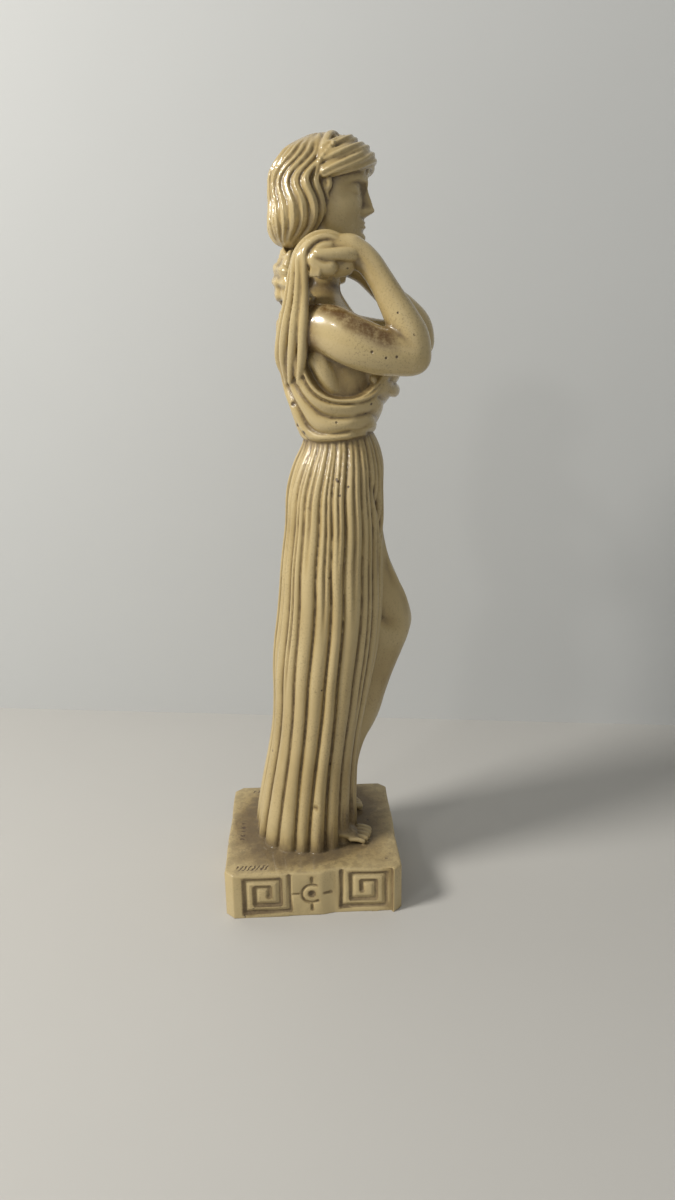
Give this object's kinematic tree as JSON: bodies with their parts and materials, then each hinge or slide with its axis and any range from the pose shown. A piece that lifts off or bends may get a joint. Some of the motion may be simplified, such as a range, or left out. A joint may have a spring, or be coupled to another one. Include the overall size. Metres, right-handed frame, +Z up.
{
  "type": "greek goddess statuette",
  "caption": "Standing figure of a goddess in a pleated dress, both hands at her shoulders, cast in one with a square plinth.",
  "frame": {"origin": "middle of the plinth's flat underside", "axes": "+Z up, her front is -Y, her left is +X"},
  "size_m": [0.07, 0.0875, 0.2844],
  "materials": {
    "resin": "ivory cast resin, semi-gloss, with brown patina in the hollows"
  },
  "bodies": {
    "root": {"goddess_statuette": "resin"}
  },
  "joints": []
}
